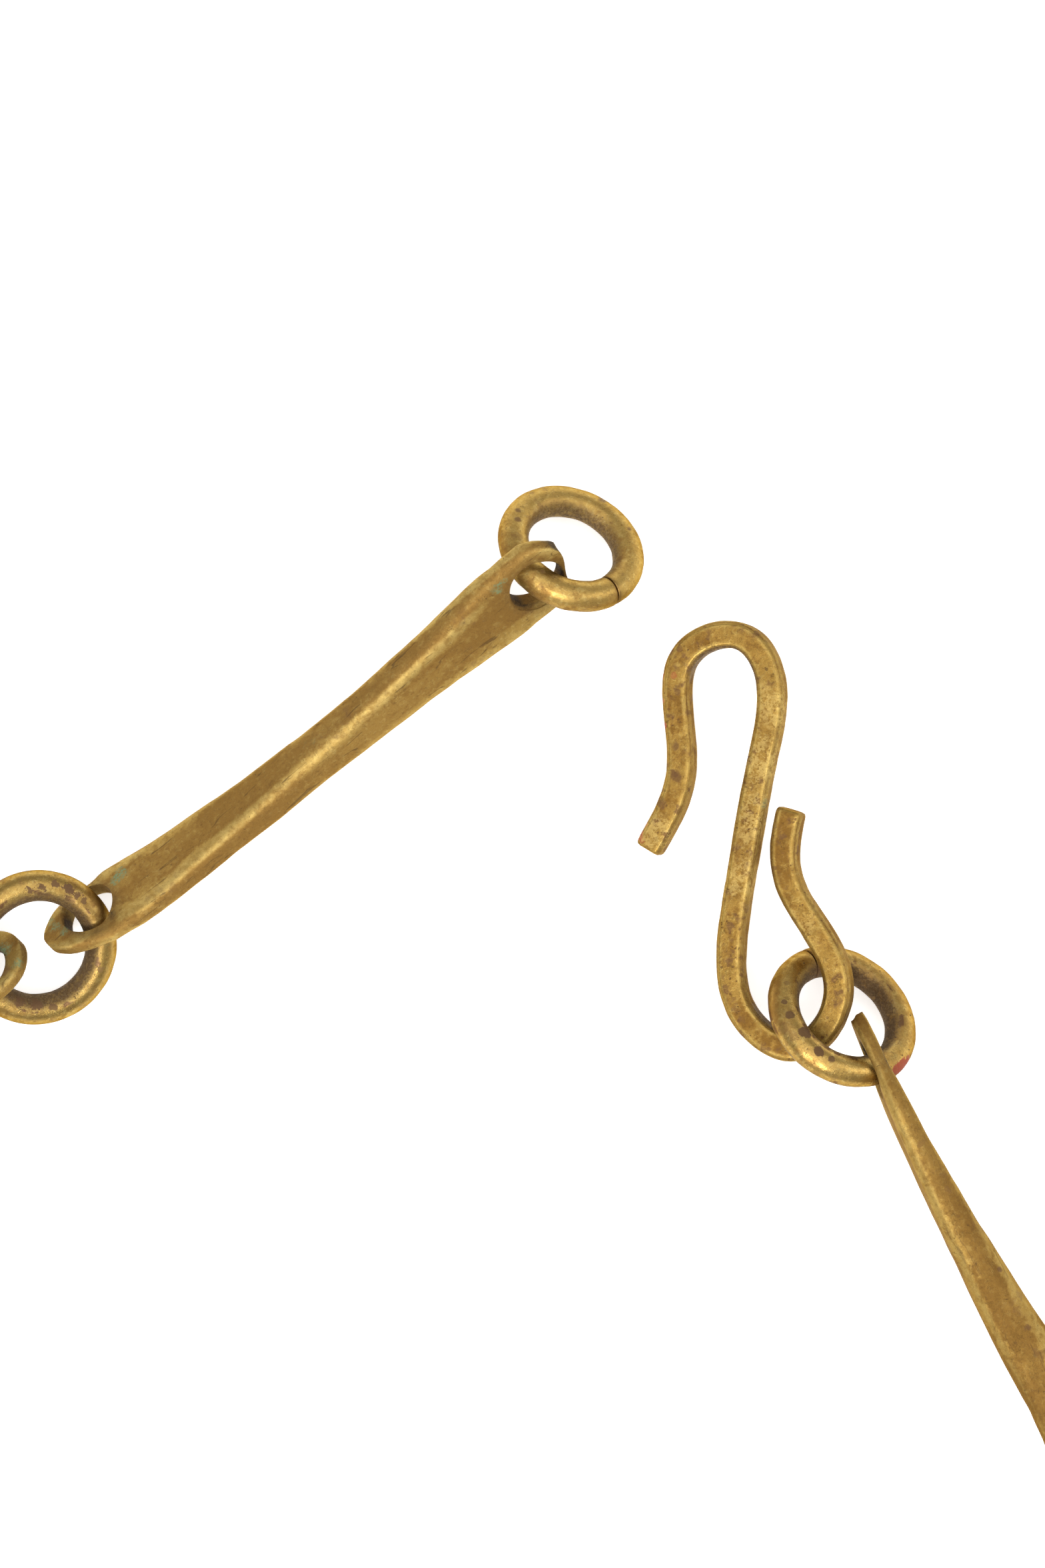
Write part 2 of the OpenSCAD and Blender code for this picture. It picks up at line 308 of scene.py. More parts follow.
def link_piece(i, stations=120, m_side=5, m_corner=4, seed=0.0):
    tip = FREE_TIP if i == 1 else NEAR_TIP
    total = tip + HOLE_SPAN + FAR_TIP
    half = total / 2
    sg = 1 if i % 2 else -1
    blunt = i == 1

    def thin(d):
        return FLAT + (BAR - FLAT) * grow((d - 7) / (half - 7)) ** 0.8

    def round_end(d, l):
        return 1 if d >= l else math.sqrt(max(0, 1 - (1 - d / l) ** 2))

    def far_w(d):
        u, v = grow((d - 12) / (half - 12)), grow((12 - d) / 7)
        w = (BAR + (FAR_W - BAR) * (1 - u) - 1.9 * v * v * (3 - 2 * v)) * round_end(d, 5)
        return w

    def near_w(d):
        w = BAR + (NEAR_W - BAR) * (1 - grow((d - 2) / (half - 2)) ** 0.9)
        if blunt:
            return w - 2 * (0 if d >= 2.2 else 2.2 - math.sqrt(max(0, 2.2**2 - (2.2 - d) ** 2)))
        return w * round_end(d, 5)

    def edge_r(x):
        return 0.5 + 1.4 * (1 - (abs(x - half) / half) ** 1.3)

    def section(y, z, r0):
        r = min(r0, y / 2 - 0.02, z / 2 - 0.02)
        out = []
        for k in range(4):
            sy, sz = (1 if k in (0, 3) else -1), (1 if k < 2 else -1)
            for j in range(m_corner + 1):
                a = math.radians(90 * k + 90 * j / m_corner)
                out.append((sy * (y / 2 - r) + r * math.cos(a), sz * (z / 2 - r) + r * math.sin(a)))
            # along the next side
            k2 = (k + 1) % 4
            sy2, sz2 = (1 if k2 in (0, 3) else -1), (1 if k2 < 2 else -1)
            a = math.radians(90 * k2)
            p0 = out[-1]
            p1 = (sy2 * (y / 2 - r) + r * math.cos(a), sz2 * (z / 2 - r) + r * math.sin(a))
            for j in range(1, m_side):
                t = j / m_side
                out.append((p0[0] + (p1[0] - p0[0]) * t, p0[1] + (p1[1] - p0[1]) * t))
        return out

    xs = [0.04, 0.15, 0.35, 0.65, 1.05, 1.6, 2.3, 3.1]
    xs = xs + list(np.linspace(3.9, total - 3.7, stations - 16)) + [total - x for x in (3.1, 2.3, 1.6, 1.05, 0.65, 0.35, 0.15, 0.04)]
    rows = []
    for x in xs:
        t = math.radians(EXTRA[i] * grow((x - tip) / HOLE_SPAN))
        u = (x - tip) / HOLE_SPAN
        bowed = math.sin(math.radians(180 * (0.1 + 0.6 * u))) - 0.35 * grow(u) ** 10
        o_ = BOW[i] * bowed / math.sqrt(2)
        y = thin(x) if x < half else far_w(total - x)
        z = thin(total - x) if x > half else near_w(x)
        c, s = math.cos(t), math.sin(t)
        rows.append([(x - tip, a * c - b * s + o_, a * s + b * c - sg * o_) for a, b in section(y, z, edge_r(x))])
    o = to_object(loft(rows), f"link_{i:02d}_bar")
    if i == 1:  # the free end was cut askew
        co = coords(o)
        past = co[:, 0] < 0
        co[past, 0] *= 1.08 - 0.40 * s01(-co[past, 2], -2.4, 3.4)
        put(o, co)
    if i in FORGED:
        put(o, forge(i, coords(o), 1))
    if i == 11:  # one corner of the far end is struck back
        co = coords(o)
        co[:, 0] -= 0.45 * s01(-co[:, 2], 0.0, 0.8) * s01(co[:, 0], 66.0, 67.4)
        put(o, co)
    deep = 0.5 if i == 1 else 0.0  # the punch left a raised lip round the far hole on the lower face
    if deep:
        co = coords(o)
        co[:, 2] -= deep * s01(-co[:, 2], 0.1, 0.6) * (1 - s01(np.hypot(co[:, 0] - HOLE_SPAN, co[:, 1]), 3.4, 4.8))
        put(o, co)
    dent(o, 0.11, 0.16, 3, seed + i * 1.7)

    # holes, their rims worn round
    for x0, turn in ((0.42 if i == 1 else 0.0, 0.0), (HOLE_SPAN, EXTRA[i])):
        rr = HOLE_D / 2
        prof = [(-6, rr + 0.55), (-1.25, rr + 0.55), (-1.0, rr + 0.34), (-0.84, rr + 0.17), (-0.68, rr + 0.06), (-0.5, rr + 0.01), (-0.3, rr), (0.3, rr), (0.5, rr + 0.01), (0.68, rr + 0.06), (0.84, rr + 0.17), (1.0, rr + 0.34), (1.25, rr + 0.55), (6, rr + 0.55)]
        if x0 > 1:
            prof = [(h - deep if h < -0.29 else h, q) for h, q in prof]
        n = 72
        cutter = to_object(loft([[(q * math.cos(a), q * math.sin(a), h) for a in np.linspace(0, 2 * math.pi, n, endpoint=False)] for h, q in prof]), "cutter")
        co = coords(cutter)
        if x0 < 1:  # axis along local Y
            co = np.c_[co[:, 0] + x0, -co[:, 2], co[:, 1]]
            off = BOW[i] * math.sin(math.radians(18)) / math.sqrt(2)
            co = co + V(0, off, 0)
        else:  # axis along local Z, turned about X
            off = BOW[i] * (math.sin(math.radians(126)) - 0.35) / math.sqrt(2)
            co = co + V(0, 0, -sg * off)
            t = math.radians(turn)
            co = np.c_[co[:, 0] + x0, co[:, 1] * math.cos(t) - co[:, 2] * math.sin(t), co[:, 1] * math.sin(t) + co[:, 2] * math.cos(t)]
            if i == 11:
                co = co - V(0, 0, 0.30)
        put(cutter, co)
        cut(o, cutter)
    lc = coords(o)
    xx = lc[:, 0] + tip
    u = np.clip(lc[:, 0] / HOLE_SPAN, 0, 1)
    t = np.radians(EXTRA[i]) * u
    bw = BOW[i] * (np.sin(np.radians(180 * (0.1 + 0.6 * u))) - 0.35 * u**10) / math.sqrt(2)
    yy, zz = lc[:, 1] - bw, lc[:, 2] + sg * bw
    yl, zl = yy * np.cos(t) + zz * np.sin(t), -yy * np.sin(t) + zz * np.cos(t)
    hy = np.array([(thin(x) if x < half else far_w(total - x)) / 2 for x in xx])
    hz = np.array([(thin(total - x) if x > half else near_w(x)) / 2 for x in xx])
    ay, az_ = np.abs(yl) / np.maximum(hy, 0.05), np.abs(zl) / np.maximum(hz, 0.05)
    edge_wear_and_sheen = s01(np.minimum(ay, az_), 0.30, 0.85)
    rim_n = np.abs(np.hypot(lc[:, 0] - (0.42 if i == 1 else 0), zz) - HOLE_D / 2)
    rim_f = np.abs(np.hypot(lc[:, 0] - HOLE_SPAN, yl) - HOLE_D / 2)
    # hole walls darkened as painted shade inside the bores; a band round each rim darkened a little
    wall_n = (1 - s01(rim_n, 0.0, 0.35)) * (1 - s01(np.abs(yy), 0.7, 1.0)) * (lc[:, 0] < 8)
    wall_f = (1 - s01(rim_f, 0.0, 0.35)) * (1 - s01(np.maximum(zl, -zl - deep), 0.7, 1.0)) * (lc[:, 0] > HOLE_SPAN - 8)
    halo = np.maximum((1 - s01(rim_n, 0.0, 1.3)) * (lc[:, 0] < 8), (1 - s01(rim_f, 0.0, 1.3)) * (lc[:, 0] > HOLE_SPAN - 8))
    no = np.empty(len(lc) * 3)
    o.data.vertices.foreach_get("normal", no)
    # end faces darkened, the blunt free end most
    end = s01(-no.reshape(-1, 3)[:, 0], 0.55, 0.85) * (lc[:, 0] < -1.5) * (0.9 if blunt else 0.3)
    attribute(o, "lc", lc)
    attribute(o, "grime_and_shade", np.clip(np.maximum(np.maximum(wall_n, wall_f) + 0.35 * halo, end), 0, 1))
    attribute(o, "edge_wear_and_sheen", edge_wear_and_sheen)
    attribute(o, "seam", np.zeros(len(lc)))
    smooth(o, 42)
    place(o, F[i], P[i])
    return o


# ---------------------------------------------------------------- S-hook
HOOK_PATH = [[-11.7, -29.5], [-8.8, -23.9], [-4.5, -17.2], [-4.9, -10.4], [-6.2, -1.6], [2.8, 1.4], [6.3, -5.7], [4.4, -13.4], [3, -20.5],
             [1.8, -27.7], [0.5, -35], [1.2, -42.3], [9, -47.5], [14.4, -39.5], [11, -32.8], [6.2, -26.9], [7.4, -19.1], [10.4, -12.7]]
HOOK_W, HOOK_T, HOOK_CH, HOOK_ROLL = 3.1, 2.8, 0.44, 17
HOOK_AT = V(22.2, 16.5, 3.93)


def hook_at(u):
    S = HOOK_PATH
    i = min(int(u), len(S) - 4)
    t = u - i
    a, b, c, d = (np.array(S[i + k], float) for k in range(4))
    p = ((1 - t) ** 3 * a + (3 * t**3 - 6 * t * t + 4) * b + (-3 * t**3 + 3 * t * t + 3 * t + 1) * c + t**3 * d) / 6
    v = -3 * (1 - t) ** 2 * a + (9 * t * t - 12 * t) * b + (-9 * t * t + 6 * t + 3) * c + 3 * t * t * d
    return p, unit(v)


def hook_piece(steps=300, seed=0.0):
    spans = len(HOOK_PATH) - 3
    hw, ht, ch = HOOK_W / 2, HOOK_T / 2, HOOK_CH
    cu = 0.6  # the underside's corners are worn more
    corners = [(hw, ht - ch), (hw - ch, ht), (-hw + ch, ht), (-hw, ht - ch), (-hw, -ht + cu), (-hw + cu, -ht), (hw - cu, -ht), (hw, -ht + cu)]
    base, wear = [], []
    n = len(corners)
    for k in range(n):
        p0, p, p1 = np.array(corners[k - 1]), np.array(corners[k]), np.array(corners[(k + 1) % n])
        d0, d1 = unit(p0 - p), unit(p1 - p)
        r = 0.13
        q0, q1 = p + d0 * r, p + d1 * r
        for t in (0, 0.33, 0.67, 1):
            base.append((1 - t) ** 2 * q0 + 2 * t * (1 - t) * p + t * t * q1)
            wear.append(1.0)
        q2 = p1 - d1 * r
        segs = 4 if np.linalg.norm(q2 - q1) > 0.7 else 2
        for j in range(1, segs):
            base.append(q1 + (q2 - q1) * j / segs)
            wear.append(0.35 if segs == 2 else 0.0)
    base, wear = np.array(base), np.array(wear)
    length = 0
    us = np.linspace(0, spans, 2000)
    pts = np.array([hook_at(u)[0] for u in us])
    arc = np.r_[0, np.cumsum(np.hypot(*np.diff(pts, axis=0).T))]
    total = arc[-1]
    s_list = [0.0, 0.04, 0.12, 0.25, 0.42, 0.65] + list(np.linspace(0.95, total - 0.95, steps)) + [total - x for x in (0.65, 0.42, 0.25, 0.12, 0.04, 0.0)]
    rows, info = [], []
    for s in s_list:
        u = np.interp(s, arc, us)
        p, d = hook_at(u)
        nrm = V(-d[1], d[0])
        e = min(s, total - s)
        k = 1.0 if e >= 0.65 else 0.80 + 0.20 * math.sqrt(max(0, 1 - (1 - e / 0.65) ** 2))
        w = 1 - 0.012 * (1 + math.sin(s * 0.43 + seed))
        row = []
        for (a, b), we in zip(base, wear):
            row.append((p[0] + nrm[0] * a * k * w, p[1] + nrm[1] * a * k * w, b * k))
            info.append((s, a, b, we if e > 0.3 else 0.6))
        rows.append(row)
    o = to_object(loft(rows), "s_hook_bar")
    dent(o, 0.05, 0.45, 3, seed + 5)
    lc = coords(o)
    info = np.array(info)
    count = len(lc)
    pad = count - len(info)
    info = np.vstack([info, np.tile([0, 0, 0, 0.2], (pad, 1))])
    bend = np.zeros(count)
    # the insides of both bends, where the rings sit, and all side walls are darkened: painted shade
    upper = np.hypot(lc[:, 0] - 0.2, lc[:, 1] + 4.4)
    lower = np.hypot(lc[:, 0] - 7.3, lc[:, 1] + 40.5)
    side = np.abs(info[:, 1]) > hw - 0.3
    inner_u = (1 - s01(upper, 3.4, 4.6)) * side
    inner_l = (1 - s01(lower, 3.4, 4.6)) * side
    attribute(o, "lc", lc)
    attribute(o, "grime_and_shade", np.clip(np.maximum(np.maximum(inner_u, inner_l) * 0.8, 0.22 * side), 0, 1))
    attribute(o, "edge_wear_and_sheen", info[:, 3])
    attribute(o, "seam", np.zeros(count))
    smooth(o, 50)
    t = math.radians(HOOK_ROLL)
    place(o, np.array([[math.cos(t), 0, -math.sin(t)], [0, 1, 0], [math.sin(t), 0, math.cos(t)]]), HOOK_AT)
    return o


# ---------------------------------------------------------------- node helpers
class Graph:
    def __init__(self, name):
        self.mat = bpy.data.materials.new(name)
        self.mat.use_nodes = True
        self.nt = self.mat.node_tree
        self.nt.nodes.clear()

    def new(self, kind, **props):
        n = self.nt.nodes.new(kind)
        for k, v in props.items():
            setattr(n, k, v)
        return n

    def feed(self, socket, value):
        if isinstance(value, bpy.types.NodeSocket):
            self.nt.links.new(value, socket)
        elif isinstance(value, (tuple, list)) and len(value) == 3 and socket.type == "RGBA":
            socket.default_value = (*value, 1)
        else:
            socket.default_value = value

    def math(self, op, a, b=None, c=None, clamp=False):
        n = self.new("ShaderNodeMath", operation=op, use_clamp=clamp)
        for s, v in zip(n.inputs, (a, b, c)):
            if v is not None:
                self.feed(s, v)
        return n.outputs[0]

    def vmath(self, op, a, b=None, scale=None):
        n = self.new("ShaderNodeVectorMath", operation=op)
        self.feed(n.inputs[0], a)
        if b is not None:
            self.feed(n.inputs[1], b)
        if scale is not None:
            self.feed(n.inputs["Scale"], scale)
        return n.outputs["Value"] if op in ("DISTANCE", "LENGTH", "DOT_PRODUCT") else n.outputs["Vector"]

    def noise(self, vec, scale, detail=4, rough=0.55, distort=0.0, lac=2.0):
        n = self.new("ShaderNodeTexNoise")
        self.feed(n.inputs["Vector"], vec)
        n.inputs["Scale"].default_value = scale
        n.inputs["Detail"].default_value = detail
        n.inputs["Roughness"].default_value = rough
        n.inputs["Lacunarity"].default_value = lac
        n.inputs["Distortion"].default_value = distort
        return n.outputs[0]

    def cells(self, vec, scale, feature="F1", rand=1.0):
        n = self.new("ShaderNodeTexVoronoi", feature=feature)
        self.feed(n.inputs["Vector"], vec)
        n.inputs["Scale"].default_value = scale
        n.inputs["Randomness"].default_value = rand
        return n.outputs["Distance"]

    def step(self, v, a, b, lo=0.0, hi=1.0):
        n = self.new("ShaderNodeMapRange", interpolation_type="SMOOTHSTEP")
        self.feed(n.inputs[0], v)
        for k, x in zip(range(1, 5), (a, b, lo, hi)):
            self.feed(n.inputs[k], x)
        return n.outputs[0]

    def mix(self, f, a, b):
        n = self.new("ShaderNodeMix", data_type="RGBA", clamp_factor=True)
        self.feed(n.inputs[0], f)
        self.feed(n.inputs[6], a)
        self.feed(n.inputs[7], b)
        return n.outputs[2]

    def fmix(self, f, a, b):
        n = self.new("ShaderNodeMix", data_type="FLOAT", clamp_factor=True)
        self.feed(n.inputs[0], f)
        self.feed(n.inputs[2], a)
        self.feed(n.inputs[3], b)
        return n.outputs[0]

    def attr(self, name, vector=False):
        n = self.new("ShaderNodeAttribute", attribute_name=name)
        return n.outputs["Vector"] if vector else n.outputs["Fac"]


BRIGHT_BRASS_AND_HIGHLIGHT = (0.620, 0.450, 0.150)
GOLD = (0.445, 0.286, 0.080)
DULL = (0.300, 0.168, 0.044)
BROWN = (0.125, 0.062, 0.026)
DUST = (0.230, 0.165, 0.095)
GREEN = (0.165, 0.235, 0.125)
RUST = (0.335, 0.068, 0.034)


def brass(name, seed=0.0, dull=0.5, mottle=0.6, spots=0.5, rough=0.42, along=1.0, pits=0.6, flat=0.0, collar=0.0, lap=0.0, metal=1.0, skin=1.0, soot_and_shade=0.5, shade=1.0, tint=(1, 1, 1), marks=()):
    """Old brass in the piece's own millimetres. dull: share that has gone brown. mottle: how broken up it is.
    spots: dark stains. marks: (kind, centre in mm, radius in mm, strength)."""
    g = Graph(name)
    bright_wear_and_highlight, gold, dull_c = (tuple(c * shade * w for c, w in zip(t, tint)) for t in (BRIGHT_BRASS_AND_HIGHLIGHT, GOLD, DULL))
    own = g.attr("lc", True)
    lc = g.vmath("ADD", own, (seed * 11.3, seed * 5.7, seed * 3.1))
    drawn = g.vmath("MULTIPLY", lc, (along, 1.0, 1.0))
    edge_wear_and_sheen, dirt_and_shade, seam = g.attr("edge_wear_and_sheen"), g.attr("grime_and_shade"), g.attr("seam")

    drift = g.noise(drawn, 0.14, 3, 0.5)
    patch = g.noise(drawn, 0.50, 6, 0.62, 0.35)
    cloud = g.noise(lc, 1.15, 6, 0.68, 0.2)
    fine = g.noise(lc, 3.4, 6, 0.72)
    grain = g.noise(lc, 10.0, 4, 0.70)

    # the skin: dull brown and warm gold in drifts, broken into soft patches
    v = g.math("ADD", g.math("MULTIPLY", drift, 0.42), g.math("ADD", g.math("MULTIPLY", patch, 0.33), g.math("MULTIPLY", cloud, 0.25)))
    mid = 0.5 + (dull - 0.5) * 0.16
    tone = g.step(v, mid + 0.055, mid - 0.055)
    tone = g.fmix(g.math("MULTIPLY", g.step(edge_wear_and_sheen, 0.5, 0.0), flat), tone, g.fmix(0.35, 0.85, tone))
    # corners, and on rings the upper half of the wire, kept less brown: wear, and on rings painted highlight
    tone = g.math("SUBTRACT", tone, g.math("MULTIPLY", g.step(edge_wear_and_sheen, 0.25, 0.9), g.step(cloud, 0.40, 0.58, 0.45, 0.95)), clamp=True)
    col = g.mix(tone, gold, dull_c)
    # lighter rubbed flecks inside the gold
    rub = g.math("MULTIPLY", g.step(g.noise(lc, 1.7, 5, 0.65, 0.4), 0.52, 0.64), g.math("SUBTRACT", 1.0, g.math("MULTIPLY", tone, 0.75)))
    col = g.mix(g.math("MULTIPLY", rub, 0.35 + 0.35 * mottle), col, bright_wear_and_highlight)
    # worn corners lightened; on rings the upper half of the wire too, as painted highlight
    wear_and_sheen = g.math("MULTIPLY", g.step(edge_wear_and_sheen, 0.45, 1.0), g.step(g.noise(lc, 0.8, 6, 0.66), 0.40, 0.58, 0.15, 1.0))
    col = g.mix(g.math("MULTIPLY", wear_and_sheen, 0.75), col, bright_wear_and_highlight)
    # granular skin
    col = g.mix(g.math("MULTIPLY", g.step(fine, 0.50, 0.66), 0.30 * mottle + 0.10), col, BROWN)
    col = g.mix(g.math("MULTIPLY", g.step(grain, 0.52, 0.70), 0.30), col, BROWN)

    # soft brown stains, in clusters
    warp = g.vmath("SCALE", g.vmath("SUBTRACT", g.colnoise(lc, 0.9), (0.5, 0.5, 0.5)), scale=2.2)
    jit = g.vmath("ADD", lc, warp)
    where = g.noise(lc, 0.20, 3, 0.5)
    stain = g.math("MULTIPLY", g.step(g.cells(jit, 0.62), 0.42, 0.20), g.step(where, 0.57 - 0.14 * spots, 0.66 - 0.14 * spots))
    stain = g.math("MULTIPLY", stain, g.step(fine, 0.34, 0.54, 0.45, 1.0))
    small = g.math("MULTIPLY", g.step(g.cells(g.vmath("ADD", lc, g.vmath("SCALE", warp, scale=0.4)), 1.5), 0.30, 0.14), g.step(g.noise(lc, 0.33, 3, 0.5), 0.50, 0.62))
    col = g.mix(g.math("MULTIPLY", stain, min(0.85, 0.30 + 0.45 * spots)), col, (0.165, 0.085, 0.034))
    col = g.mix(g.math("MULTIPLY", small, 0.20 + 0.35 * spots), col, BROWN)
    if collar:
        # brown scallops where the lighter crown (rubbed wear and painted highlight) meets the darkened inside (dust and
        # painted shade) of a ring
        band = g.math("MULTIPLY", g.step(dirt_and_shade, -0.02, 0.06), g.step(dirt_and_shade, 0.85, 0.45))
        blot = g.math("MULTIPLY", g.step(g.cells(jit, 0.55), 0.52, 0.34), g.step(where, 0.36, 0.46))
        col = g.mix(g.math("MULTIPLY", g.math("MULTIPLY", band, blot), collar), col, (0.140, 0.070, 0.038))
    if lap:
        # long thin laps where hammered metal folded over itself
        run = g.vmath("MULTIPLY", lc, (0.10, 1.0, 1.0))
        line = g.step(g.math("ABSOLUTE", g.math("SUBTRACT", g.noise(run, 0.85, 2, 0.4), 0.5)), 0.020, 0.006)
        line = g.math("MULTIPLY", line, g.step(g.noise(g.vmath("MULTIPLY", lc, (0.22, 1.0, 1.0)), 0.7, 3, 0.6), 0.54, 0.60))
        col = g.mix(g.math("MULTIPLY", line, lap), col, (0.085, 0.048, 0.024))
    # small sharp pits and hair cracks
    pit = g.math("MULTIPLY", g.step(g.cells(jit, 1.25), 0.17, 0.10), g.step(g.noise(lc, 0.45, 3, 0.5), 0.52, 0.60))
    crack = g.step(g.math("ABSOLUTE", g.math("SUBTRACT", g.noise(lc, 1.6, 5, 0.60, 1.0), 0.5)), 0.014, 0.002)
    crack = g.math("MULTIPLY", crack, g.step(g.noise(lc, 0.6, 3, 0.5), 0.50, 0.62))
    sharp = g.math("MULTIPLY", g.math("MAXIMUM", pit, g.math("MULTIPLY", crack, 0.6)), pits)
    col = g.mix(g.math("MULTIPLY", sharp, 0.85), col, (0.060, 0.034, 0.018))

    # dust and grime in the hollows, with painted shade: ring insides (dust and painted shade), the wire's lower half,
    # hole walls, hook side walls and bend insides (painted shade)
    dirty_and_shaded = g.math("MULTIPLY", dirt_and_shade, g.step(g.math("ADD", g.math("MULTIPLY", fine, 0.5), g.math("MULTIPLY", cloud, 0.5)), 0.36, 0.56, 0.55, 1.15), clamp=True)
    # the dark colour is painted shade, darkest on links, where it fills the hole walls; DUST is real dust
    col = g.mix(g.math("MULTIPLY", dirty_and_shaded, 0.92), col, g.mix(g.math("MULTIPLY", g.step(g.noise(lc, 4.5, 5, 0.75), 0.44, 0.62), 1.0 - soot_and_shade), (0.026, 0.016, 0.009) if lap else (0.070, 0.040, 0.020), DUST))
    col = g.mix(g.math("MULTIPLY", seam, 0.5), col, BROWN)
    cover = g.math("MAXIMUM", g.math("MULTIPLY", dirty_and_shaded, 0.85), g.math("MULTIPLY", g.math("MAXIMUM", stain, sharp), 0.30))
    for kind, centre, radius, strength in marks:
        d = g.vmath("DISTANCE", own, centre)
        ragged = g.noise(lc, 1.4, 5, 0.72) if kind == "chip" else g.noise(lc, 0.9, 5, 0.65)
        d = g.math("ADD", d, g.math("MULTIPLY", g.math("SUBTRACT", ragged, 0.5), radius * (4.5 if kind == "chip" else 2.0)))
        m = g.math("MULTIPLY", g.step(d, radius, radius * (0.80 if kind in ("rust", "chip") else 0.68 if kind == "spot" else 0.40)), strength)
        if kind == "pale":
            m = g.math("MULTIPLY", m, g.step(g.math("ADD", g.math("MULTIPLY", cloud, 0.6), g.math("MULTIPLY", fine, 0.4)), 0.55, 0.46, 0.0, 1.0))
        if kind == "green":
            m = g.math("MULTIPLY", m, g.step(fine, 0.42, 0.60, 0.10, 1.0))
        # bright marks paint a highlight in; pale marks are lighter brass
        col = g.mix(m, col, {"green": GREEN, "rust": RUST, "dark": BROWN, "spot": (0.095, 0.050, 0.024), "chip": (0.118, 0.064, 0.033), "bright_wear_and_highlight": BRIGHT_BRASS_AND_HIGHLIGHT, "pale": BRIGHT_BRASS_AND_HIGHLIGHT}[kind])
        if kind not in ("bright_wear_and_highlight", "pale"):
            cover = g.math("MAXIMUM", cover, g.math("MULTIPLY", m, 0.9))
    ro = g.math("ADD", g.fmix(tone, rough - 0.05, rough + 0.10), g.math("MULTIPLY", g.math("SUBTRACT", fine, 0.5), 0.25))
    ro = g.math("MAXIMUM", ro, g.math("MULTIPLY", cover, 0.78))
    height = g.math("ADD", g.math("MULTIPLY", cloud, 0.55), g.math("ADD", g.math("MULTIPLY", fine, 0.42), g.math("MULTIPLY", grain, 0.16)))
    height = g.math("SUBTRACT", height, g.math("ADD", g.math("MULTIPLY", sharp, 0.35), g.math("MULTIPLY", small, 0.10)))
    height = g.math("ADD", height, g.math("MULTIPLY", dirty_and_shaded, g.math("MULTIPLY", grain, 0.8)))
    bump = g.new("ShaderNodeBump")
    bump.inputs["Strength"].default_value = 0.55
    bump.inputs["Distance"].default_value = 0.00010 * skin
    g.feed(bump.inputs["Height"], height)
    b = g.new("ShaderNodeBsdfPrincipled")
    g.feed(b.inputs["Base Color"], col)
    g.feed(b.inputs["Metallic"], g.math("MULTIPLY", g.math("SUBTRACT", 1.0, g.math("MULTIPLY", cover, 0.95), clamp=True), metal))
    g.feed(b.inputs["Roughness"], ro)
    g.feed(b.inputs["Normal"], bump.outputs[0])
    b.inputs["Specular IOR Level"].default_value = 0.30
    b.inputs["Specular Tint"].default_value = (0.62, 0.50, 0.34, 1)
    out = g.new("ShaderNodeOutputMaterial")
    g.feed(out.inputs["Surface"], b.outputs[0])
    return g.mat


def _colnoise(self, vec, scale):
    n = self.new("ShaderNodeTexNoise")
    self.feed(n.inputs["Vector"], vec)
    n.inputs["Scale"].default_value = scale
    n.inputs["Detail"].default_value = 3
    return n.outputs["Color"]


Graph.colnoise = _colnoise
